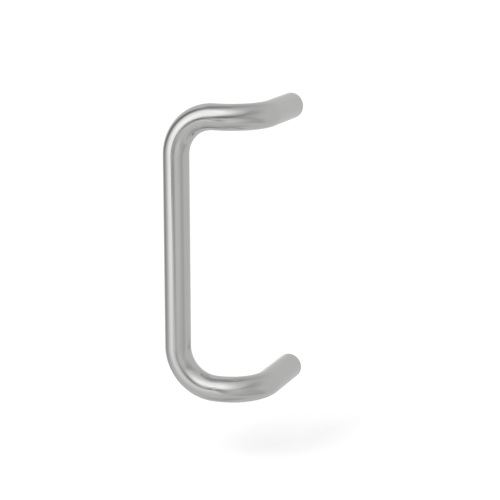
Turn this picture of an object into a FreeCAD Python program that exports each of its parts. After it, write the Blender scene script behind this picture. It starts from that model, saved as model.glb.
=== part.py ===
import FreeCAD, Part

import math
import os

import Sketcher
from FreeCAD import Vector

# Offset pull handle: one round stainless bar, bent four times, faced at both ends and tapped there.
#
# Frame, in millimetres: the door's face is the plane y = 0, and the handle stands on its -Y side.
# +Z runs up along the grip, and +X from the grip towards the two fixing ends.
# The origin lies on the door's face, midway between the centres of the two ends.
#
# From each end the bar runs straight out from the door, turns a right angle in a level plane and, after a
# short straight, another right angle in the plane of the grip. The grip so stands beside the line of the
# fixings and clear of the door, with room for the hand all round it.
#
# The upper half is built from its end to the middle of the grip, and the whole bar is that half mirrored.

NODE = "pull_handle"

# Driving dimensions: name, value in mm, what it measures.
SIZES = [
    ("bar_diameter", 19.0, "diameter of the round bar"),
    ("fixing_centres", 200.0, "distance between the centres of the two ends"),
    ("bend_radius", 29.0, "radius of all four bends, at the bar's centreline"),
    ("leg_run", 2.0, "straight between the two bends of a leg"),
    ("end_run", 43.0, "straight from a leg's second bend to the door's face"),
    ("rim_round", 0.8, "radius round the rim of each faced end"),
    ("thread_diameter", 8.0, "nominal diameter of the thread in each end"),
    ("thread_pitch", 1.25, "pitch of that thread"),
    ("thread_depth", 16.0, "depth of the full thread"),
    ("drill_runout", 4.0, "plain bore past the full thread, down to the drill point"),
    ("mouth_relief", 0.3, "how far the countersink stands outside the thread, all round"),
]

# Angles of the drill's point and of the countersink, in degrees.
DRILL_POINT = 118.0
COUNTERSINK = 90.0

# Lengths worked out from the driving dimensions, as expressions on the sheet.
HALF_CENTRES = "Sizes.fixing_centres / 2"
PROJECTION = "Sizes.end_run + Sizes.bend_radius"
TAPPING_BORE = "Sizes.thread_diameter - Sizes.thread_pitch"
BORE_DEPTH = "Sizes.thread_depth + Sizes.drill_runout"
MOUTH_DIAMETER = "Sizes.thread_diameter + 2 * Sizes.mouth_relief"

# The places on a line or an arc, as a constraint numbers them, and the sketch's own origin.
WHOLE, START, END, CENTRE = range(4)
ORIGIN = (-1, START)

# Directions on a sketch, as angles.
EAST = 0.0
NORTH = math.pi / 2
WEST = math.pi
SOUTH = -math.pi / 2

# How near two places or radii have to be to count as the same, in mm.
SAME = 1e-4


def make_sheet(doc):
    """The driving dimensions, one to a row: name, value, meaning."""
    sheet = doc.addObject("Spreadsheet::Sheet", "Sizes")
    for row, (alias, value, meaning) in enumerate(SIZES, start=1):
        sheet.set(f"A{row}", alias)
        sheet.set(f"B{row}", str(value))
        sheet.set(f"C{row}", meaning)
        sheet.setAlias(f"B{row}", alias)
    doc.recompute()


def length(thing, expression):
    """What an expression on the sheet comes to, in mm."""
    return float(thing.evalExpression(expression))


def origin_plane(body, role):
    """One of the body's own three origin planes."""
    return next(feature for feature in body.Origin.OriginFeatures if feature.Role == role)


def new_sketch(body, name, role, offset=None):
    """An empty sketch on one of the body's origin planes, or off it along that plane's normal."""
    sketch = body.newObject("Sketcher::SketchObject", name)
    sketch.AttachmentSupport = [(origin_plane(body, role), "")]
    sketch.MapMode = "FlatFace"
    if offset:
        sketch.setExpression("AttachmentOffset.Base.z", offset)
    return sketch


def hold(sketch, kind, *items):
    """Add a constraint that needs no value."""
    sketch.addConstraint(Sketcher.Constraint(kind, *items))


def bind(sketch, name, expression, kind, *items):
    """Add a dimension that takes its value from the sheet."""
    value = length(sketch, expression)
    index = sketch.addConstraint(Sketcher.Constraint(kind, *items, value))
    sketch.renameConstraint(index, name)
    sketch.setExpression(f"Constraints.{name}", expression)


def add_line(sketch, start, end):
    """A straight between two points, each given as (x, y)."""
    return sketch.addGeometry(Part.LineSegment(Vector(*start), Vector(*end)))


def add_bend(sketch, centre, first, last):
    """A bend about a point, from one direction round to the next, anticlockwise."""
    radius = length(sketch, "Sizes.bend_radius")
    bend = sketch.addGeometry(Part.ArcOfCircle(Part.Circle(Vector(*centre), Vector(0, 0, 1), radius), first, last))
    bind(sketch, "bend_radius", "Sizes.bend_radius", "Radius", bend)
    return bend


def add_circle(sketch, centre, diameter):
    """A circle about a point, whose diameter the sheet gives."""
    radius = length(sketch, diameter) / 2
    circle = sketch.addGeometry(Part.Circle(Vector(*centre), Vector(0, 0, 1), radius))
    bind(sketch, "diameter", diameter, "Diameter", circle)
    return circle


def circle_on_end(body, name, diameter):
    """A circle on the door's face, about the centre of the upper end."""
    sketch = new_sketch(body, name, "XZ_Plane")
    circle = add_circle(sketch, (0, length(sketch, HALF_CENTRES)), diameter)
    hold(sketch, "Vertical", circle, CENTRE, *ORIGIN)
    bind(sketch, "height", HALF_CENTRES, "DistanceY", *ORIGIN, circle, CENTRE)
    return sketch


def leg_route(body):
    """The leg's centreline, in the level plane through the upper end: out from the door, then round."""
    sketch = new_sketch(body, "leg_route", "XY_Plane", HALF_CENTRES)
    radius = length(sketch, "Sizes.bend_radius")
    run = length(sketch, "Sizes.end_run")
    straight = add_line(sketch, (0, 0), (0, -run))
    bend = add_bend(sketch, (-radius, -run), SOUTH, EAST)
    hold(sketch, "Coincident", straight, START, *ORIGIN)
    hold(sketch, "Vertical", straight)
    bind(sketch, "end_run", "Sizes.end_run", "Distance", straight)
    hold(sketch, "Tangent", straight, END, bend, END)
    hold(sketch, "Vertical", bend, START, bend, CENTRE)
    return sketch


def leg_section(body):
    """The bar's section where the leg's second bend ends."""
    sketch = new_sketch(body, "leg_section", "YZ_Plane", "-Sizes.bend_radius")
    place = (-length(sketch, PROJECTION), length(sketch, HALF_CENTRES))
    circle = add_circle(sketch, place, "Sizes.bar_diameter")
    bind(sketch, "projection", PROJECTION, "DistanceX", circle, CENTRE, *ORIGIN)
    bind(sketch, "height", HALF_CENTRES, "DistanceY", *ORIGIN, circle, CENTRE)
    return sketch


def grip_route(body):
    """The rest of the upper half's centreline, in the grip's plane: the leg, its first bend, half the grip."""
    sketch = new_sketch(body, "grip_route", "XZ_Plane", PROJECTION)
    radius = length(sketch, "Sizes.bend_radius")
    height = length(sketch, HALF_CENTRES)
    leg_end = -radius - length(sketch, "Sizes.leg_run")
    leg = add_line(sketch, (-radius, height), (leg_end, height))
    bend = add_bend(sketch, (leg_end, height - radius), NORTH, WEST)
    grip = add_line(sketch, (leg_end - radius, height - radius), (leg_end - radius, 0))
    bind(sketch, "from_fixings", "Sizes.bend_radius", "DistanceX", leg, START, *ORIGIN)
    bind(sketch, "height", HALF_CENTRES, "DistanceY", *ORIGIN, leg, START)
    hold(sketch, "Horizontal", leg)
    bind(sketch, "leg_run", "Sizes.leg_run", "Distance", leg)
    hold(sketch, "Tangent", leg, END, bend, START)
    hold(sketch, "Tangent", bend, END, grip, START)
    hold(sketch, "Vertical", grip)
    hold(sketch, "Horizontal", grip, END, *ORIGIN)
    return sketch


def bend_bar(body, name, section, route):
    """The round bar along one flat stretch of its centreline."""
    bar = body.newObject("PartDesign::AdditivePipe", name)
    bar.Profile = section
    bar.Spine = route
    body.Document.recompute()
    return bar


def tap_end(body):
    """The blind hole for the fixing bolt: tapping bore, drill point and countersunk mouth."""
    before = body.Tip.Shape.Volume
    mark = circle_on_end(body, "tapped_hole_mark", TAPPING_BORE)
    hole = body.newObject("PartDesign::Hole", "tapped_hole")
    hole.Profile = mark
    body.Document.recompute()
    hole.Reversed = True
    hole.ThreadType = "None"
    hole.setExpression("Diameter", TAPPING_BORE)
    hole.DepthType = "Dimension"
    hole.setExpression("Depth", BORE_DEPTH)
    hole.DrillPoint = "Angled"
    hole.DrillPointAngle = DRILL_POINT
    hole.HoleCutType = "Countersink"
    hole.setExpression("HoleCutDiameter", MOUTH_DIAMETER)
    hole.HoleCutCountersinkAngle = COUNTERSINK
    body.Document.recompute()
    if not hole.Shape.Volume < before:
        raise ValueError("the tapped hole cuts nothing")


def round_rim(body):
    """The rounded rim of the faced end, which keeps it from marking the door."""
    bar = body.Tip
    radius = length(body, "Sizes.bar_diameter") / 2
    rims = []
    for number, edge in enumerate(bar.Shape.Edges, start=1):
        if isinstance(edge.Curve, Part.Circle) and abs(edge.Curve.Radius - radius) < SAME:
            if abs(edge.Curve.Center.y) < SAME:
                rims.append(f"Edge{number}")
    fillet = body.newObject("PartDesign::Fillet", "rounded_rim")
    fillet.Base = (bar, rims)
    fillet.setExpression("Radius", "Sizes.rim_round")
    body.Document.recompute()


def mirror_half(body):
    """The lower half, mirrored in the level plane through the middle of the grip."""
    half = body.Tip
    whole = body.newObject("PartDesign::Mirrored", "lower_half")
    whole.Originals = [half]
    whole.TransformMode = "Whole shape"
    whole.MirrorPlane = (origin_plane(body, "XY_Plane"), [""])
    body.Tip = whole
    body.Document.recompute()


def make_handle(doc):
    """The bent bar, as one body."""
    body = doc.addObject("PartDesign::Body", NODE)
    body.Label = NODE
    end_section = circle_on_end(body, "end_section", "Sizes.bar_diameter")
    bend_bar(body, "leg", end_section, leg_route(body))
    bend_bar(body, "grip", leg_section(body), grip_route(body))
    round_rim(body)
    tap_end(body)
    mirror_half(body)
    return body


def check(doc, bodies):
    """Stop if any object failed, or any sub-part isn't one sound solid."""
    for thing in doc.Objects:
        if "Invalid" in thing.State or "Error" in thing.State:
            raise ValueError(f"{thing.Name} failed: {thing.State}")
    for body in bodies:
        shape = body.Shape
        if shape.isNull() or not shape.isValid() or len(shape.Solids) != 1:
            raise ValueError(f"{body.Label} isn't one sound solid")


def main():
    doc = FreeCAD.newDocument("offset_pull_handle")
    make_sheet(doc)
    bodies = [make_handle(doc)]
    doc.recompute()
    check(doc, bodies)
    os.makedirs("parts", exist_ok=True)
    for body in bodies:
        body.Shape.exportStep(f"parts/{body.Label}.step")


main()
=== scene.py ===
import math

import bmesh
import bpy
from bpy.props import FloatProperty, FloatVectorProperty, IntProperty, PointerProperty
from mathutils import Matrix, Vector


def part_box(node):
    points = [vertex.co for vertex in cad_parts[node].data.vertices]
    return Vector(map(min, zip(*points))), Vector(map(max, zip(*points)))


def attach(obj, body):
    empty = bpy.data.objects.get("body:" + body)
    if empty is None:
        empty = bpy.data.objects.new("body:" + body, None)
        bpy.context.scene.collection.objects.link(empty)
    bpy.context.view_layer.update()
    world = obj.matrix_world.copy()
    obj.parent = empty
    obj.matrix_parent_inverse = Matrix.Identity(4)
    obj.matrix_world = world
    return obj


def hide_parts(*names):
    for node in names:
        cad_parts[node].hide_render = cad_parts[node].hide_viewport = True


# A satin steel door pull: one round bar, bent four times and tapped at both ends, shown in a pale studio.
#
# Frame, in metres: the door's face is the plane y = 0, and the handle stands on its -Y side.
# +Z runs up along the grip, and +X from the grip towards the two fixing ends.

bl_info = {
    "name": "Offset Pull Handle",
    "version": (1, 0, 0),
    "blender": (4, 5, 0),
    "location": "View3D > Sidebar > Pull Handle",
    "description": "A bent satin steel door pull with tapped ends, and the studio that shows it",
    "category": "Add Mesh",
}

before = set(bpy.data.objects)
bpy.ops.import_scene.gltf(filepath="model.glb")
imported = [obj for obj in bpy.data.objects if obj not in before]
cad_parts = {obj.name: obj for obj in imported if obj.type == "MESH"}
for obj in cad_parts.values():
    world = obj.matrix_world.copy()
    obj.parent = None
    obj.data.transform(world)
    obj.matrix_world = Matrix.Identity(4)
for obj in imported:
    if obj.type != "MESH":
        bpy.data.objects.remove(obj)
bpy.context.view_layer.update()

HANDLE_NODE = "pull_handle"

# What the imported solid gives: the bar's radius and where its centreline runs.
LOWEST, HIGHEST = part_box(HANDLE_NODE)
BAR_RADIUS = HIGHEST.x
HALF_CENTRES = HIGHEST.z - BAR_RADIUS
GRIP_OFFSET = -LOWEST.x - BAR_RADIUS
PROJECTION = -LOWEST.y - BAR_RADIUS

QUARTER_TURN = math.pi / 2
MILLIMETRE = 0.001

# How near two places have to be to count as the same.
SAME = 1e-6

# A ring this far from each end of a straight keeps the bends and the rim out of its shading.
SHADING_RING = 1 * MILLIMETRE

# Edges sharper than this are shaded as edges.
SHARP_ANGLE = math.radians(30)

# The thread's flanks lean by this angle, and its crest is this share of the pitch wide.
THREAD_FLANK = math.radians(30)
CREST_SHARE = 1 / 8

# The thread's cutter starts this far inside the bore's wall, and takes this many steps to a turn.
THREAD_OVERLAP = 0.2 * MILLIMETRE
THREAD_STEPS = 48

# Steps across the round of a rim, and the share of that round that the faced steel stops short of it.
RIM_STEPS = 5
RIM_SHARE = 0.9

# The hole in an end reaches no deeper than this many bar radii.
END_ZONE = 3.0

# How the steel varies: the range of its colour, how far its roughness swings to either side, which stretch of
# a noise makes those swings, and how many patches of polish there are to a metre.
COLOUR_RANGE = (0.97, 1.03)
ROUGHNESS_SWING = 0.02
NOISE_LOW = 0.3
NOISE_HIGH = 0.7
PATCHES_PER_METRE = 60.0

# The relief of the steel's grain: its strength as a share, and its depth.
GRAIN_STRENGTH = 0.02
GRAIN_DEPTH = 0.02 * MILLIMETRE

# How far the highlights are drawn out on the satin bar and on its faced ends.
SATIN_ANISOTROPY = 0.5
FACED_ANISOTROPY = 0.4

# The paper of the floor, and how finely the dome of the near strips is cut.
PAPER_ROUGHNESS = 0.9
DOME_SEGMENTS = 64
DOME_RINGS = 32

# The steel sees the white backdrop straight behind the handle, out to where this is the cosine of the angle.
BACKDROP_EDGE = 0.985

# The width of the camera's frame, in millimetres.
FRAME_WIDTH = 36

# The panels lean about this height, in degrees up from level.
EYE_LINE = 10.0

# What a soft panel is given: the direction's bearing and height, the level behind it and how much of that is
# covered already, and then the numbers of its row in the tables below.
PANEL_LINKS = ("Round", "Up", "Behind", "Covered")
PANEL_NUMBERS = (
    "Left", "Right", "Bottom", "Top", "Soft left", "Soft right", "Soft bottom", "Soft top", "Lean", "Level",
)

# The studio's soft panels, from the farthest to the nearest: name, left, right, bottom and top edges, how
# soft each edge is, how far the panel leans, and its level. Edges are in degrees, round from the studio's
# front and up from level. An edge past a pole, or past the back, is out of sight.
FAR_PANELS = (
    ("overhead", -102, 19, 0, 55, 29, 67, 49, 68, 0.2, 2.2),
    ("key", -78, -22, -1, 58, 27, 27, 87, 32, 0.1, 1.99),
    ("right_flag", -41, 41, -44, 12, 50, 21, 3, 25, -1, 0.55),
    ("left_curtain", -130, -88, -22, 74, 24, 86, 63, 67, 0.3, 0.19),
    ("high_flag", -116, -31, 58, 170, 90, 6, 3, 10, -1.2, 0.38),
    ("back_flag", 169, 257, 45, 150, 89, 3, 32, 9, -0.9, 0.53),
    ("low_flag", -124, 99, -245, -65, 15, 67, 6, 27, 0.4, 0.51),
    ("right_card", -1, 32, -17, 51, 21, 88, 4, 51, 1.2, 0.36),
    ("front_flag", -40, 3, -3, 29, 41, 16, 16, 76, 1.1, 0.03),
)

# The same for the strips that hang near the handle, as seen from its middle.
NEAR_STRIPS = (
    ("edge_strip", -47, -39, 1, 18, 3, 66, 3, 26, 0.3, 0.02),
    ("side_strip", -44, -16, -12, -1, 7, 63, 18, 5, -0.4, 0.13),
    ("level_strip", -52, -48, -10, 6, 3, 3, 5, 7, -0.5, 0.03),
    ("high_strip", -73, 17, 32, 39, 47, 40, 64, 90, 0.4, 0.02),
    ("low_strip", -36, -25, -81, -3, 3, 56, 12, 12, 0.3, 0.75),
    ("front_glow", -27, 14, 4, 0, 21, 56, 88, 56, -0.4, 2.2),
)

# Names that the mesh and its materials share.
UNBENT = "unbent_place"
ALONG_BAR = "along_bar"


class BarSizes(bpy.types.PropertyGroup):
    """The bent bar's sizes."""

    bar_diameter: FloatProperty(
        name="Bar diameter", description="Diameter of the round bar", default=2 * BAR_RADIUS, unit="LENGTH"
    )
    fixing_centres: FloatProperty(
        name="Fixing centres", description="Distance between the centres of the two ends",
        default=2 * HALF_CENTRES, unit="LENGTH",
    )
    grip_offset: FloatProperty(
        name="Grip offset", description="How far the grip stands to one side of the two ends",
        default=GRIP_OFFSET, unit="LENGTH",
    )
    projection: FloatProperty(
        name="Projection", description="How far the grip's centreline stands off the door",
        default=PROJECTION, unit="LENGTH",
    )
    bend_radius: FloatProperty(
        name="Bend radius", description="Radius of all four bends, at the bar's centreline",
        default=29 * MILLIMETRE, unit="LENGTH",
    )
    rim_round: FloatProperty(
        name="Rim round", description="Radius round the rim of each faced end",
        default=0.8 * MILLIMETRE, unit="LENGTH",
    )
    facets_round: IntProperty(
        name="Facets round", description="Facets round the bar", default=128, min=24, max=256
    )
    facets_bend: IntProperty(
        name="Facets per bend", description="Facets along each bend", default=32, min=8, max=96
    )


class EndSizes(bpy.types.PropertyGroup):
    """The sizes of the tapped hole in each end."""

    thread_diameter: FloatProperty(
        name="Thread diameter", description="Nominal diameter of the thread",
        default=8 * MILLIMETRE, unit="LENGTH",
    )
    thread_pitch: FloatProperty(
        name="Thread pitch", description="Pitch of the thread", default=1.25 * MILLIMETRE, unit="LENGTH"
    )
    thread_depth: FloatProperty(
        name="Thread depth", description="Depth of the full thread", default=16 * MILLIMETRE, unit="LENGTH"
    )
    drill_runout: FloatProperty(
        name="Drill run-out", description="Plain bore past the full thread",
        default=4 * MILLIMETRE, unit="LENGTH",
    )
    mouth_relief: FloatProperty(
        name="Mouth relief", description="How far the countersink stands outside the thread, all round",
        default=0.3 * MILLIMETRE, unit="LENGTH",
    )
    drill_point: FloatProperty(
        name="Drill point", description="Angle of the drill's point", default=math.radians(118),
        subtype="ANGLE", unit="ROTATION",
    )


class SteelFinish(bpy.types.PropertyGroup):
    """The steel's colour and polish."""

    steel_colour: FloatVectorProperty(
        name="Steel colour", description="Colour of the satin steel", default=(0.612, 0.611, 0.605),
        subtype="COLOR", min=0, max=1,
    )
    satin_roughness: FloatProperty(
        name="Satin roughness", description="Roughness of the satin bar", default=0.12, min=0, max=1,
        subtype="FACTOR",
    )
    faced_roughness: FloatProperty(
        name="Faced roughness", description="Roughness of the faced ends and their holes", default=0.28,
        min=0, max=1, subtype="FACTOR",
    )
    grain_width: FloatProperty(
        name="Grain width", description="Width of one line of the grain", default=0.2 * MILLIMETRE,
        unit="LENGTH",
    )
    grain_length: FloatProperty(
        name="Grain length", description="Length of one line of the grain", default=12 * MILLIMETRE,
        unit="LENGTH",
    )


class StudioSettings(bpy.types.PropertyGroup):
    """The floor, the light and the camera."""

    floor_height: FloatProperty(
        name="Floor height", description="Height of the floor below the middle of the grip",
        default=-0.16, unit="LENGTH",
    )
    floor_size: FloatProperty(
        name="Floor size", description="Side of the square floor", default=30.0, unit="LENGTH"
    )
    floor_colour: FloatVectorProperty(
        name="Floor colour", description="Colour of the paper floor", default=(0.8, 0.8, 0.8),
        subtype="COLOR", min=0, max=1,
    )
    floor_lift: FloatProperty(
        name="Floor lift", description="How much the floor is lifted towards white", default=0.33,
        min=0, max=1,
    )
    room_level: FloatProperty(
        name="Room level", description="Level of the room's plain light", default=0.69, min=0, max=2
    )
    strip_distance: FloatProperty(
        name="Strip distance", description="How far the near strips hang from the handle's middle",
        default=0.55, unit="LENGTH",
    )
    sun_strength: FloatProperty(
        name="Sun strength", description="Strength of the soft sun", default=0.5, min=0, max=5
    )
    sun_softness: FloatProperty(
        name="Sun softness", description="How wide the soft sun is", default=math.radians(25),
        subtype="ANGLE", unit="ROTATION",
    )
    sun_turn: FloatVectorProperty(
        name="Sun turn", description="Which way the soft sun points",
        default=(math.radians(40), math.radians(-25), 0), subtype="EULER", unit="ROTATION",
    )
    lens: FloatProperty(
        name="Lens", description="Focal length on a 36 mm frame, in millimetres", default=114.135
    )
    camera_round: FloatProperty(
        name="Camera round", description="How far the camera stands round to the right",
        default=math.radians(22.49), subtype="ANGLE", unit="ROTATION",
    )
    camera_dip: FloatProperty(
        name="Camera dip", description="How far the camera looks down", default=math.radians(13.646),
        subtype="ANGLE", unit="ROTATION",
    )
    camera_place: FloatVectorProperty(
        name="Camera place", description="Where the camera stands", default=(0.41403, -1.07942, 0.27123),
        subtype="TRANSLATION", unit="LENGTH",
    )


def bare_selection():
    """Object mode, with nothing selected."""
    if bpy.context.object and bpy.context.object.mode != "OBJECT":
        bpy.ops.object.mode_set(mode="OBJECT")
    bpy.ops.object.select_all(action="DESELECT")


def work_on(piece):
    """Select one piece alone and go into its edit mode, with none of its mesh selected."""
    bare_selection()
    piece.select_set(True)
    bpy.context.view_layer.objects.active = piece
    bpy.ops.object.mode_set(mode="EDIT")
    bpy.ops.mesh.select_all(action="DESELECT")


def pick_points(piece, wanted):
    """In edit mode, select the points whose place is wanted, with the edges and faces between them."""
    bpy.ops.mesh.select_all(action="DESELECT")
    bpy.ops.mesh.select_mode(type="VERT")
    mesh = bmesh.from_edit_mesh(piece.data)
    for point in mesh.verts:
        if wanted(point.co):
            point.select = True
    mesh.select_flush_mode()
    bmesh.update_edit_mesh(piece.data)


def pull(move):
    """Extrude what is selected by a move along X, Y and Z."""
    bpy.ops.mesh.extrude_region_move(TRANSFORM_OT_translate={"value": tuple(move)})


def pull_straight(direction, *lengths):
    """Extrude a straight in steps: the short ones at its ends keep the shading of the bends out of it."""
    for length in lengths:
        pull(length * direction)


def bend(centre, axis, facets):
    """Spin what is selected through a right angle."""
    bpy.ops.mesh.spin(steps=facets, angle=QUARTER_TURN, center=centre, axis=axis)


def turn_in(height, factor, depth=0.0):
    """Extrude the ring of an end: narrowed by a factor about the end's axis, and moved into the bar."""
    pull((0, -depth, 0))
    bpy.ops.transform.resize(value=(factor, 1, factor), center_override=(0, 0, height))


def apply_modifier(piece, modifier):
    """Apply a modifier to a piece in object mode."""
    bare_selection()
    piece.select_set(True)
    bpy.context.view_layer.objects.active = piece
    bpy.ops.object.modifier_apply(modifier=modifier.name)


def face_outwards(piece):
    """Merge the points that lie double and turn every face outwards."""
    work_on(piece)
    bpy.ops.mesh.select_all(action="SELECT")
    bpy.ops.mesh.remove_doubles(threshold=SAME)
    bpy.ops.mesh.select_all(action="SELECT")
    bpy.ops.mesh.normals_make_consistent(inside=False)


class HANDLE_OT_bent_bar(bpy.types.Operator):
    """Bend the bar, face both of its ends and tap a hole in each"""

    bl_idname = "handle.bent_bar"
    bl_label = "Bent Bar"

    def execute(self, context):
        sizes = context.scene.bar_sizes
        ends = context.scene.end_sizes
        half = sizes.fixing_centres / 2
        bar = bend_half(sizes)
        drill_end(bar, sizes, ends)
        round_rim(bar, sizes)
        mirror_half(bar)
        for height in (half, -half):
            cut_thread(bar, ends, height)
        close_skin(bar)
        lay_grain(bar, sizes, ends)
        fine_lines()
        dress_bar(bar, sizes, context.scene.steel_finish)
        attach(bar, "root")
        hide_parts(HANDLE_NODE)
        return {"FINISHED"}


def straights(sizes):
    """Half the fixing centres, an end's straight, a leg's straight, and the X where the grip's bend begins."""
    end_run = sizes.projection - sizes.bend_radius
    leg_run = sizes.grip_offset - 2 * sizes.bend_radius
    return sizes.fixing_centres / 2, end_run, leg_run, -sizes.bend_radius - leg_run


def bend_half(sizes):
    """The upper half's skin, from the door to the middle of the grip."""
    half, end_run, leg_run, corner = straights(sizes)
    near_rim = sizes.rim_round + SHADING_RING
    bare_selection()
    bpy.ops.mesh.primitive_circle_add(
        vertices=sizes.facets_round, radius=sizes.bar_diameter / 2,
        location=(0, 0, half), rotation=(QUARTER_TURN, 0, 0),
    )
    bar = bpy.context.object
    bar.name = "bent_bar"
    bar.data.name = "bent_bar"
    bpy.ops.object.transform_apply(location=True, rotation=True, scale=True)
    work_on(bar)
    bpy.ops.mesh.select_all(action="SELECT")
    pull_straight(Vector((0, -1, 0)), near_rim, end_run - near_rim - SHADING_RING, SHADING_RING)
    bend((-sizes.bend_radius, -end_run, half), (0, 0, 1), sizes.facets_bend)
    pull_straight(Vector((-1, 0, 0)), leg_run)
    bend((corner, -sizes.projection, half - sizes.bend_radius), (0, 1, 0), sizes.facets_bend)
    pull_straight(Vector((0, 0, -1)), SHADING_RING, half - sizes.bend_radius - SHADING_RING)
    return bar


def drill_end(bar, sizes, ends):
    """The upper end's face and the hole in it: countersunk mouth, tapping bore and drill point."""
    radius = sizes.bar_diameter / 2
    half = sizes.fixing_centres / 2
    mouth = ends.thread_diameter / 2 + ends.mouth_relief
    bore = (ends.thread_diameter - ends.thread_pitch) / 2
    sink = mouth - bore
    pick_points(bar, lambda place: abs(place.y) < SAME)
    turn_in(half, mouth / radius)
    turn_in(half, bore / mouth, sink)
    turn_in(half, 1, ends.thread_depth + ends.drill_runout - sink)
    pull((0, -bore / math.tan(ends.drill_point / 2), 0))
    bpy.ops.mesh.merge(type="CENTER")


def round_rim(bar, sizes):
    """Round the rim between the upper end's face and the bar."""
    radius = sizes.bar_diameter / 2
    half = sizes.fixing_centres / 2

    def on_rim(place):
        return abs(place.y) < SAME and abs(math.hypot(place.x, place.z - half) - radius) < SAME

    pick_points(bar, on_rim)
    bpy.ops.mesh.bevel(offset=sizes.rim_round, segments=RIM_STEPS, profile=0.5, affect="EDGES")


def mirror_half(bar):
    """The lower half, mirrored in the level plane through the middle of the grip."""
    bare_selection()
    mirror = bar.modifiers.new("lower_half", "MIRROR")
    mirror.use_axis = (False, False, True)
    mirror.merge_threshold = SAME
    apply_modifier(bar, mirror)
    face_outwards(bar)
    bare_selection()


def make_tap(ends, height):
    """The cutter of one end's thread: a helical ridge of its section that starts outside the door's face."""
    inner = (ends.thread_diameter - ends.thread_pitch) / 2 - THREAD_OVERLAP
    outer = ends.thread_diameter / 2
    crest = CREST_SHARE * ends.thread_pitch
    root = crest + 2 * (outer - inner) * math.tan(THREAD_FLANK)
    turns = math.ceil((ends.thread_depth + ends.thread_pitch) / ends.thread_pitch)
    bare_selection()
    bpy.ops.mesh.primitive_plane_add(size=1)
    tap = bpy.context.object
    tap.scale = (outer - inner, root, 1)
    tap.location = ((inner + outer) / 2, -ends.thread_depth, 0)
    bpy.ops.object.transform_apply(location=True, rotation=True, scale=True)
    work_on(tap)
    pick_points(tap, lambda place: place.x > (inner + outer) / 2)
    bpy.ops.transform.resize(value=(1, crest / root, 1), center_override=(outer, -ends.thread_depth, 0))
    bpy.ops.mesh.select_all(action="SELECT")
    bpy.ops.mesh.delete(type="ONLY_FACE")
    bare_selection()
    helix = tap.modifiers.new("helix", "SCREW")
    helix.axis = "Y"
    helix.screw_offset = ends.thread_pitch
    helix.iterations = turns
    helix.steps = helix.render_steps = THREAD_STEPS
    apply_modifier(tap, helix)
    work_on(tap)
    bpy.ops.mesh.select_all(action="SELECT")
    bpy.ops.mesh.fill_holes(sides=4)
    bpy.ops.mesh.select_all(action="SELECT")
    bpy.ops.transform.translate(value=(0, 0, height))
    face_outwards(tap)
    bare_selection()
    return tap


def cut_thread(bar, ends, height):
    """Cut the thread in the end at one height."""
    tap = make_tap(ends, height)
    cut = bar.modifiers.new("thread", "BOOLEAN")
    cut.operation = "DIFFERENCE"
    cut.solver = "EXACT"
    cut.object = tap
    apply_modifier(bar, cut)
    bpy.data.objects.remove(tap)


def close_skin(bar):
    """Clean the cut skin, smooth its shading and stop if it has a gap."""
    face_outwards(bar)
    bpy.ops.mesh.dissolve_degenerate(threshold=SAME)
    bpy.ops.mesh.select_all(action="DESELECT")
    bpy.ops.mesh.select_mode(type="EDGE")
    bpy.ops.mesh.select_non_manifold()
    gaps = sum(edge.select for edge in bmesh.from_edit_mesh(bar.data).edges)
    bare_selection()
    if gaps:
        raise ValueError(f"the bar's skin has {gaps} open edges")
    bar.select_set(True)
    bpy.ops.object.shade_smooth_by_angle(angle=SHARP_ANGLE)


def unbend(place, sizes):
    """Where a point of the bar was before the bar was bent: along it, and across it on two axes."""
    half, end_run, leg_run, corner = straights(sizes)
    arc = sizes.bend_radius * QUARTER_TURN
    middle = end_run + leg_run + 2 * arc + half - sizes.bend_radius
    x, y, z = place.x, place.y, abs(place.z)
    if y >= -end_run:
        along, out, up = -y, x, z - half
    elif x >= -sizes.bend_radius:
        turn = math.atan2(-end_run - y, x + sizes.bend_radius)
        along = end_run + sizes.bend_radius * turn
        out = math.hypot(x + sizes.bend_radius, y + end_run) - sizes.bend_radius
        up = z - half
    elif x >= corner:
        along, out, up = end_run + arc - sizes.bend_radius - x, -sizes.projection - y, z - half
    elif z >= half - sizes.bend_radius:
        turn = math.atan2(corner - x, z - half + sizes.bend_radius)
        along = end_run + arc + leg_run + sizes.bend_radius * turn
        out = -sizes.projection - y
        up = math.hypot(x - corner, z - half + sizes.bend_radius) - sizes.bend_radius
    else:
        along, out, up = middle - z, -sizes.projection - y, -sizes.grip_offset - x
    if place.z < 0:
        along = 2 * middle - along
    return Vector((along, out, up))


def lay_grain(bar, sizes, ends):
    """Store each point's place on the unbent bar, and a UV map whose U runs along it."""
    radius = sizes.bar_diameter / 2
    mouth = ends.thread_diameter / 2 + ends.mouth_relief
    bar_length = 2 * unbend(Vector((-sizes.grip_offset, -sizes.projection, 0)), sizes).x
    places = [unbend(point.co, sizes) for point in bar.data.vertices]
    layer = bar.data.attributes.new(UNBENT, "FLOAT_VECTOR", "POINT")
    layer.data.foreach_set("vector", [number for place in places for number in place])

    def run(place):
        """The way along the skin from the nearer rim: negative over the end's face and down the hole."""
        from_end = min(place.x, bar_length - place.x)
        inward = radius - math.hypot(place.y, place.z)
        if from_end > END_ZONE * radius:
            return from_end
        return -from_end - inward if radius - inward < mouth + SAME else from_end - inward

    names = [layer.name for layer in bar.data.uv_layers]
    uv = bar.data.uv_layers.get(names[0]) if names else bar.data.uv_layers.new(name=ALONG_BAR)
    uv.name = ALONG_BAR
    for face in bar.data.polygons:
        first = None
        for corner in face.loop_indices:
            place = places[bar.data.loops[corner].vertex_index]
            turn = math.atan2(place.z, place.y)
            first = turn if first is None else first
            if turn - first > math.pi:
                turn -= 2 * math.pi
            elif first - turn > math.pi:
                turn += 2 * math.pi
            along = run(place)
            if place.x > bar_length / 2:
                along = bar_length - along
            uv.data[corner].uv = (along / bar_length, turn / (2 * math.pi))


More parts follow.
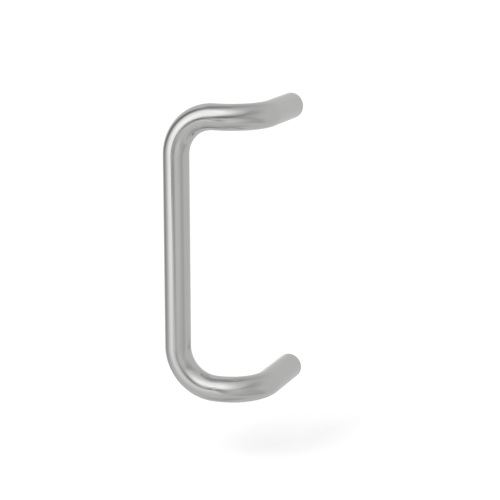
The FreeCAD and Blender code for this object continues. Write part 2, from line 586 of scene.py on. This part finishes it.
def add_node(tree, kind, place, **values):
    """A node at a place on the sheet, with its settings."""
    node = tree.nodes.new(kind)
    node.location = place
    for name, value in values.items():
        setattr(node, name, value)
    return node


def sums(tree, operation, place, *inputs):
    """A Math node: each input is a number or another node's socket. Gives its output."""
    node = add_node(tree, "ShaderNodeMath", place, operation=operation)
    for socket, value in zip(node.inputs, inputs):
        if isinstance(value, (int, float)):
            socket.default_value = value
        else:
            tree.links.new(value, socket)
    return node.outputs[0]


def new_group(name, inputs, outputs):
    """An empty node group with float or vector sockets, as a tree with its input and output nodes."""
    tree = bpy.data.node_groups.new(name, "ShaderNodeTree")
    for label, kind in inputs:
        tree.interface.new_socket(label, in_out="INPUT", socket_type=kind)
    for label, kind in outputs:
        tree.interface.new_socket(label, in_out="OUTPUT", socket_type=kind)
    start = add_node(tree, "NodeGroupInput", (-900, 0))
    end = add_node(tree, "NodeGroupOutput", (600, 0))
    return tree, start.outputs, end.inputs


def fine_lines():
    """Fine lines of uneven strength, side by side across the grain. Each fades along its length."""
    tree, given, result = new_group(
        "fine_lines",
        [
            ("Across", "NodeSocketFloat"),
            ("Place", "NodeSocketVector"),
            ("Line width", "NodeSocketFloat"),
            ("Line length", "NodeSocketFloat"),
        ],
        [("Lines", "NodeSocketFloat")],
    )
    count = sums(tree, "DIVIDE", (-650, 150), given["Across"], given["Line width"])
    stretch = sums(tree, "DIVIDE", (-650, -150), 1.0, given["Line length"])
    step = add_node(tree, "ShaderNodeCombineXYZ", (-450, 150))
    tree.links.new(count, step.inputs["X"])
    slow = add_node(tree, "ShaderNodeVectorMath", (-450, -100), operation="SCALE")
    tree.links.new(given["Place"], slow.inputs[0])
    tree.links.new(stretch, slow.inputs["Scale"])
    both = add_node(tree, "ShaderNodeVectorMath", (-200, 0), operation="ADD")
    tree.links.new(step.outputs[0], both.inputs[0])
    tree.links.new(slow.outputs[0], both.inputs[1])
    noise = add_node(tree, "ShaderNodeTexNoise", (50, 0))
    noise.inputs["Scale"].default_value = 1.0
    noise.inputs["Detail"].default_value = 3.0
    tree.links.new(both.outputs[0], noise.inputs["Vector"])
    tree.links.new(noise.outputs["Fac"], result["Lines"])


def map_range(tree, place, value, low, high, new_low, new_high):
    """A Map Range node between numbers. Gives its output."""
    node = add_node(tree, "ShaderNodeMapRange", place)
    for name, number in (("From Min", low), ("From Max", high), ("To Min", new_low), ("To Max", new_high)):
        node.inputs[name].default_value = number
    tree.links.new(value, node.inputs["Value"])
    return node.outputs["Result"]


def swing(tree, place, noise, middle):
    """A roughness that a noise swings to either side of a middle value."""
    return map_range(
        tree, place, noise, NOISE_LOW, NOISE_HIGH, middle - ROUGHNESS_SWING, middle + ROUGHNESS_SWING
    )


def grained_steel(name, finish, roughness, concentric, anisotropy):
    """Steel with lines round the bar, or round an end's centre, and soft patches where the polish varies."""
    material = bpy.data.materials.new(name)
    material.use_nodes = True
    tree = material.node_tree
    shader = tree.nodes["Principled BSDF"]
    place = add_node(tree, "ShaderNodeAttribute", (-1300, 0), attribute_name=UNBENT)
    parts = add_node(tree, "ShaderNodeSeparateXYZ", (-1100, 150))
    tree.links.new(place.outputs["Vector"], parts.inputs[0])
    across = parts.outputs["X"]
    if concentric:
        from_axis = add_node(tree, "ShaderNodeCombineXYZ", (-950, 150))
        tree.links.new(parts.outputs["Y"], from_axis.inputs["Y"])
        tree.links.new(parts.outputs["Z"], from_axis.inputs["Z"])
        radius = add_node(tree, "ShaderNodeVectorMath", (-800, 150), operation="LENGTH")
        tree.links.new(from_axis.outputs[0], radius.inputs[0])
        across = radius.outputs["Value"]
    lines = add_node(tree, "ShaderNodeGroup", (-600, 150))
    lines.node_tree = bpy.data.node_groups["fine_lines"]
    lines.inputs["Line width"].default_value = finish.grain_width
    lines.inputs["Line length"].default_value = finish.grain_length
    tree.links.new(across, lines.inputs["Across"])
    tree.links.new(place.outputs["Vector"], lines.inputs["Place"])
    patches = add_node(tree, "ShaderNodeTexNoise", (-600, -150))
    patches.inputs["Scale"].default_value = PATCHES_PER_METRE
    patches.inputs["Detail"].default_value = 2.0
    tree.links.new(place.outputs["Vector"], patches.inputs["Vector"])
    tone = add_node(tree, "ShaderNodeMix", (-300, 300), data_type="RGBA")
    for socket, share in zip(("A", "B"), COLOUR_RANGE):
        tone.inputs[socket].default_value = (*(share * channel for channel in finish.steel_colour), 1)
    tree.links.new(lines.outputs["Lines"], tone.inputs["Factor"])
    tree.links.new(tone.outputs["Result"], shader.inputs["Base Color"])
    grain = swing(tree, (-350, 50), lines.outputs["Lines"], 0.0)
    polish = swing(tree, (-350, -200), patches.outputs["Fac"], roughness)
    tree.links.new(sums(tree, "ADD", (-150, 0), grain, polish), shader.inputs["Roughness"])
    bump = add_node(tree, "ShaderNodeBump", (-300, -450))
    bump.inputs["Strength"].default_value = GRAIN_STRENGTH
    bump.inputs["Distance"].default_value = GRAIN_DEPTH
    tree.links.new(lines.outputs["Lines"], bump.inputs["Height"])
    tree.links.new(bump.outputs["Normal"], shader.inputs["Normal"])
    along = add_node(tree, "ShaderNodeTangent", (-300, -650), direction_type="UV_MAP", uv_map=ALONG_BAR)
    tree.links.new(along.outputs["Tangent"], shader.inputs["Tangent"])
    shader.inputs["Metallic"].default_value = 1.0
    shader.inputs["Anisotropic"].default_value = anisotropy
    return material


def dress_bar(bar, sizes, finish):
    """Satin steel over the whole bar, and faced steel inside the rims of its ends."""
    satin = grained_steel("satin_steel", finish, finish.satin_roughness, False, SATIN_ANISOTROPY)
    faced = grained_steel("faced_steel", finish, finish.faced_roughness, True, FACED_ANISOTROPY)
    bar.data.materials.append(satin)
    bar.data.materials.append(faced)
    inside = sizes.bar_diameter / 2 - RIM_SHARE * sizes.rim_round
    reach = END_ZONE * sizes.bar_diameter / 2
    for face in bar.data.polygons:
        from_axis = math.hypot(face.center.x, abs(face.center.z) - sizes.fixing_centres / 2)
        face.material_index = int(face.center.y > -reach and from_axis < inside)


class HANDLE_OT_studio(bpy.types.Operator):
    """Set up the floor, the light and the camera"""

    bl_idname = "handle.studio"
    bl_label = "Studio"

    def execute(self, context):
        studio = context.scene.studio_settings
        lay_floor(studio)
        light_studio(studio)
        hang_strips(studio)
        place_camera(studio)
        context.scene.view_settings.view_transform = "Standard"
        return {"FINISHED"}


def lay_floor(studio):
    """A plain pale floor that shows as white in the light and keeps the handle's soft shadow."""
    bare_selection()
    bpy.ops.mesh.primitive_plane_add(size=studio.floor_size, location=(0, 0, studio.floor_height))
    floor = bpy.context.object
    floor.name = "floor"
    bpy.ops.object.transform_apply(location=True, rotation=True, scale=True)
    floor.visible_glossy = False
    floor.data.materials.append(pale_floor(studio))


def pale_floor(studio):
    """Pale paper: its own light lifts it to white for the camera, and it is clear from below."""
    material = bpy.data.materials.new("pale_floor")
    material.use_nodes = True
    tree = material.node_tree
    shader = tree.nodes["Principled BSDF"]
    shader.inputs["Base Color"].default_value = (*studio.floor_colour, 1)
    shader.inputs["Roughness"].default_value = PAPER_ROUGHNESS
    shader.inputs["Specular IOR Level"].default_value = 0.0
    rays = add_node(tree, "ShaderNodeLightPath", (-700, -200))
    seen = sums(tree, "MAXIMUM", (-500, -200), rays.outputs["Is Camera Ray"], rays.outputs["Is Glossy Ray"])
    seen = sums(tree, "MAXIMUM", (-300, -200), seen, rays.outputs["Is Transmission Ray"])
    lift = sums(tree, "MULTIPLY", (-100, -200), seen, studio.floor_lift)
    tree.links.new(lift, shader.inputs["Emission Strength"])
    shader.inputs["Emission Color"].default_value = (1, 1, 1, 1)
    clear = add_node(tree, "ShaderNodeBsdfTransparent", (300, -200))
    side = add_node(tree, "ShaderNodeNewGeometry", (300, 300))
    mix = add_node(tree, "ShaderNodeMixShader", (500, 0))
    tree.links.new(side.outputs["Backfacing"], mix.inputs[0])
    tree.links.new(shader.outputs[0], mix.inputs[1])
    tree.links.new(clear.outputs[0], mix.inputs[2])
    tree.links.new(mix.outputs[0], tree.nodes["Material Output"].inputs["Surface"])
    return material


def soft_panel():
    """One soft-edged panel over what is behind it: the level there, and how much of it is covered."""
    tree, given, result = new_group(
        "soft_panel",
        [(name, "NodeSocketFloat") for name in PANEL_LINKS + PANEL_NUMBERS],
        [("Level", "NodeSocketFloat"), ("Covered", "NodeSocketFloat")],
    )
    rise = sums(tree, "SUBTRACT", (-700, 300), given["Up"], EYE_LINE)
    slide = sums(tree, "MULTIPLY", (-550, 300), rise, given["Lean"])
    upright = sums(tree, "SUBTRACT", (-400, 300), given["Round"], slide)
    spans = (
        (upright, given["Left"], "Soft left"),
        (given["Right"], upright, "Soft right"),
        (given["Up"], given["Bottom"], "Soft bottom"),
        (given["Top"], given["Up"], "Soft top"),
    )
    cover = 1.0
    for row, (far, near, soft) in enumerate(spans):
        inside = sums(tree, "SUBTRACT", (-200, -200 * row), far, near)
        share = sums(tree, "DIVIDE", (-50, -200 * row), inside, given[soft])
        centred = sums(tree, "ADD", (100, -200 * row), share, 0.5)
        fade = add_node(tree, "ShaderNodeMapRange", (250, -200 * row), interpolation_type="SMOOTHSTEP")
        tree.links.new(centred, fade.inputs["Value"])
        cover = sums(tree, "MULTIPLY", (400, -200 * row), cover, fade.outputs["Result"])
    change = sums(tree, "SUBTRACT", (300, 300), given["Level"], given["Behind"])
    step = sums(tree, "MULTIPLY", (450, 300), change, cover)
    tree.links.new(sums(tree, "ADD", (600, 300), given["Behind"], step), result["Level"])
    bare = sums(tree, "SUBTRACT", (300, 500), 1.0, given["Covered"])
    more = sums(tree, "MULTIPLY", (450, 500), bare, cover)
    tree.links.new(sums(tree, "ADD", (600, 500), given["Covered"], more), result["Covered"])


def turn_to_front(tree, studio, direction):
    """How far a direction points straight back, its bearing round from the studio's front, and its height.

    The last two are in degrees. The front is where the camera stands, and it is the same from every view.
    """
    turned = add_node(tree, "ShaderNodeVectorRotate", (-1600, 0), rotation_type="Z_AXIS")
    turned.inputs["Angle"].default_value = -studio.camera_round
    tree.links.new(direction, turned.inputs["Vector"])
    parts = add_node(tree, "ShaderNodeSeparateXYZ", (-1400, 0))
    tree.links.new(turned.outputs[0], parts.inputs[0])
    front = sums(tree, "MULTIPLY", (-1200, -100), parts.outputs["Y"], -1.0)
    round_front = sums(tree, "ARCTAN2", (-1050, 0), parts.outputs["X"], front)
    up = sums(tree, "ARCSINE", (-1050, -200), parts.outputs["Z"])
    return (
        parts.outputs["Y"],
        sums(tree, "DEGREES", (-900, 0), round_front),
        sums(tree, "DEGREES", (-900, -200), up),
    )


def stand_panels(tree, panels, round_front, up, level):
    """One soft panel after another over a plain level. Gives the last level and the share that is covered."""
    covered = 0.0
    for step, (name, *numbers) in enumerate(panels):
        panel = add_node(tree, "ShaderNodeGroup", (-600 + 200 * step, 0), label=name)
        panel.node_tree = bpy.data.node_groups["soft_panel"]
        for label, value in zip(PANEL_LINKS, (round_front, up, level, covered)):
            if isinstance(value, float):
                panel.inputs[label].default_value = value
            else:
                tree.links.new(value, panel.inputs[label])
        for label, number in zip(PANEL_NUMBERS, numbers):
            panel.inputs[label].default_value = number
        level, covered = panel.outputs["Level"], panel.outputs["Covered"]
    return level, covered


def light_studio(studio):
    """The room's plain light with its soft panels, and a soft sun for the shadow.

    The camera sees the backdrop white all round, and the steel sees it white behind the handle.
    """
    world = bpy.data.worlds.new("studio")
    bpy.context.scene.world = world
    world.use_nodes = True
    tree = world.node_tree
    soft_panel()
    place = add_node(tree, "ShaderNodeTexCoord", (-1800, 0))
    back, round_front, up = turn_to_front(tree, studio, place.outputs["Generated"])
    level, _ = stand_panels(tree, FAR_PANELS, round_front, up, studio.room_level)
    behind = map_range(tree, (600, 600), back, BACKDROP_EDGE, 1.0, 0.0, 1.0)
    rays = add_node(tree, "ShaderNodeLightPath", (600, 300))
    through = sums(
        tree, "MAXIMUM", (900, 300), rays.outputs["Is Camera Ray"], rays.outputs["Is Transmission Ray"]
    )
    mirrored = sums(tree, "MULTIPLY", (900, 500), rays.outputs["Is Glossy Ray"], behind)
    seen = add_node(tree, "ShaderNodeMix", (1400, 100), data_type="FLOAT")
    tree.links.new(sums(tree, "MAXIMUM", (1150, 400), through, mirrored), seen.inputs["Factor"])
    tree.links.new(level, seen.inputs["A"])
    seen.inputs["B"].default_value = 1.0
    background = tree.nodes["Background"]
    background.location = (1600, 0)
    tree.nodes["World Output"].location = (1800, 0)
    tree.links.new(seen.outputs["Result"], background.inputs["Color"])
    bare_selection()
    bpy.ops.object.light_add(type="SUN", location=(-1, -1, 2), rotation=studio.sun_turn)
    sun = bpy.context.object
    sun.name = "sun"
    sun.data.energy = studio.sun_strength
    sun.data.angle = studio.sun_softness
    sun.visible_glossy = False


def hang_strips(studio):
    """A clear dome round the handle that carries the near strips. Only the steel sees them."""
    middle = Vector((-GRIP_OFFSET / 2, -PROJECTION / 2, 0))
    bare_selection()
    bpy.ops.mesh.primitive_uv_sphere_add(
        segments=DOME_SEGMENTS, ring_count=DOME_RINGS, radius=studio.strip_distance, location=middle
    )
    dome = bpy.context.object
    dome.name = "strips"
    bpy.ops.object.transform_apply(location=True, rotation=True, scale=True)
    dome.visible_camera = False
    dome.visible_diffuse = False
    dome.visible_transmission = False
    dome.visible_shadow = False
    material = bpy.data.materials.new("near_strips")
    material.use_nodes = True
    tree = material.node_tree
    tree.nodes.remove(tree.nodes["Principled BSDF"])
    place = add_node(tree, "ShaderNodeTexCoord", (-2200, 0))
    centred = add_node(tree, "ShaderNodeVectorMath", (-2000, 0), operation="SUBTRACT")
    centred.inputs[1].default_value = middle
    tree.links.new(place.outputs["Object"], centred.inputs[0])
    direction = add_node(tree, "ShaderNodeVectorMath", (-1800, 0), operation="NORMALIZE")
    tree.links.new(centred.outputs[0], direction.inputs[0])
    _, round_front, up = turn_to_front(tree, studio, direction.outputs[0])
    level, covered = stand_panels(tree, NEAR_STRIPS, round_front, up, 0.0)
    glow = add_node(tree, "ShaderNodeEmission", (300, 0))
    tree.links.new(level, glow.inputs["Strength"])
    clear = add_node(tree, "ShaderNodeBsdfTransparent", (300, -200))
    tree.links.new(sums(tree, "SUBTRACT", (100, -200), 1.0, covered), clear.inputs["Color"])
    both = add_node(tree, "ShaderNodeAddShader", (500, 0))
    tree.links.new(glow.outputs[0], both.inputs[0])
    tree.links.new(clear.outputs[0], both.inputs[1])
    tree.links.new(both.outputs[0], tree.nodes["Material Output"].inputs["Surface"])
    dome.data.materials.append(material)


def place_camera(studio):
    """The camera, a little above the handle and round to its right."""
    bare_selection()
    bpy.ops.object.camera_add(
        location=studio.camera_place, rotation=(QUARTER_TURN - studio.camera_dip, 0, studio.camera_round)
    )
    camera = bpy.context.object
    camera.name = "camera"
    camera.data.lens = studio.lens
    camera.data.sensor_width = FRAME_WIDTH
    bpy.context.scene.camera = camera


class HANDLE_PT_panel(bpy.types.Panel):
    """The sizes, the finish and the studio, with a button for each piece"""

    bl_idname = "HANDLE_PT_panel"
    bl_label = "Offset Pull Handle"
    bl_space_type = "VIEW_3D"
    bl_region_type = "UI"
    bl_category = "Pull Handle"

    def draw(self, context):
        for group, title, button in PANEL_ROWS:
            box = self.layout.box()
            box.label(text=title)
            settings = getattr(context.scene, group)
            for name in settings.__annotations__:
                box.prop(settings, name)
            if button:
                box.operator(button)


# The panel's boxes: group of settings, title, and the operator that uses them.
PANEL_ROWS = (
    ("bar_sizes", "Bar", ""),
    ("end_sizes", "Tapped ends", ""),
    ("steel_finish", "Steel", "handle.bent_bar"),
    ("studio_settings", "Studio", "handle.studio"),
)

SETTINGS = {
    "bar_sizes": BarSizes,
    "end_sizes": EndSizes,
    "steel_finish": SteelFinish,
    "studio_settings": StudioSettings,
}

CLASSES = (*SETTINGS.values(), HANDLE_OT_bent_bar, HANDLE_OT_studio, HANDLE_PT_panel)


def register():
    for part in CLASSES:
        bpy.utils.register_class(part)
    for name, group in SETTINGS.items():
        setattr(bpy.types.Scene, name, PointerProperty(type=group))


def unregister():
    for name in SETTINGS:
        delattr(bpy.types.Scene, name)
    for part in reversed(CLASSES):
        bpy.utils.unregister_class(part)


def main():
    register()
    bpy.ops.handle.bent_bar()
    bpy.ops.handle.studio()


if __name__ == "__main__":
    main()
